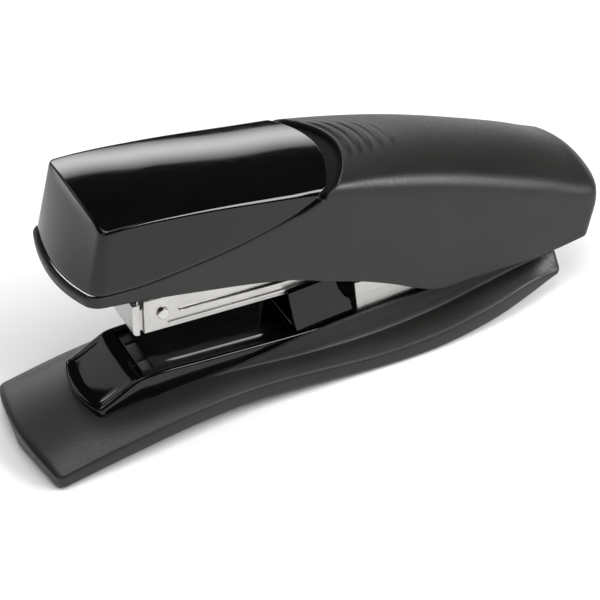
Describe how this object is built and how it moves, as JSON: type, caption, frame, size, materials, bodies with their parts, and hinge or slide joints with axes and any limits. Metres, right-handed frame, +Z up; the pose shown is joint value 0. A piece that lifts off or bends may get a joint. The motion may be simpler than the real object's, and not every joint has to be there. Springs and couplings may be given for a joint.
{
  "type": "desk stapler",
  "caption": "Black desk stapler resting open: gloss cap over a matte lever, steel front-loading magazine, and a long wave-shaped base with an anvil.",
  "frame": {"origin": "bottom centre of the bounding box, on the table under the middle of the stapler", "axes": "+X from the nose to the hinge end, +Y across, +Z up"},
  "size_m": [0.1928, 0.055, 0.0842],
  "materials": {
    "matte_black": "fine spark-eroded texture",
    "gloss_black": "polished",
    "bright_steel": "zinc-plated sheet",
    "spring_steel": "drawn wire",
    "rubber": "matte"
  },
  "bodies": {
    "base": {"base_shell": "matte_black", "base_insert": "gloss_black", "magazine_saddle": "gloss_black", "anvil_plate": "bright_steel", "foot_front_right": "rubber", "foot_front_left": "rubber", "foot_middle_right": "rubber", "foot_middle_left": "rubber", "hinge_bracket": "bright_steel", "hinge_pin": "bright_steel", "pin_clip_right": "spring_steel", "pin_clip_left": "spring_steel", "bracket_screw_front": "bright_steel", "bracket_screw_rear": "bright_steel", "lift_spring": "spring_steel"},
    "magazine": {"magazine_housing": "bright_steel", "magazine_rivet_right": "bright_steel", "magazine_rivet_left": "bright_steel", "spring_bridge": "spring_steel"},
    "tray": {"tray_channel": "bright_steel", "tray_nose": "bright_steel", "tray_stop": "matte_black", "pusher_spring": "spring_steel"},
    "pusher": {"staple_pusher": "gloss_black"},
    "handle": {"handle_shell": "matte_black", "top_cap": "gloss_black", "handle_frame": "bright_steel", "driver_blade": "bright_steel", "blade_clamp": "spring_steel", "frame_screw_front": "bright_steel", "frame_screw_rear": "bright_steel", "return_spring": "spring_steel"}
  },
  "joints": [
    {"name": "magazine_swing", "type": "hinge", "parent": "base", "child": "magazine", "pos_m": [0.073, 0, 0.0203], "axis": [0, -1, 0], "range_deg": [0, 4.6], "stiffness_Nm_per_rad": 1.2, "springref_deg": -20.05, "deforming": ["lift_spring"]},
    {"name": "handle_press", "type": "hinge", "parent": "magazine", "child": "handle", "pos_m": [0.073, 0, 0.0203], "axis": [0, -1, 0], "range_deg": [0, 3.4], "stiffness_Nm_per_rad": 1.2, "springref_deg": -17.19, "deforming": ["return_spring"]},
    {"name": "tray_slide", "type": "slide", "parent": "magazine", "child": "tray", "axis": [-0.9938, 0, 0.1115], "range_m": [0, 0.092]},
    {"name": "pusher_slide", "type": "slide", "parent": "tray", "child": "pusher", "axis": [0.9938, 0, -0.1115], "range_m": [0, 0.08], "deforming": ["pusher_spring"]}
  ]
}
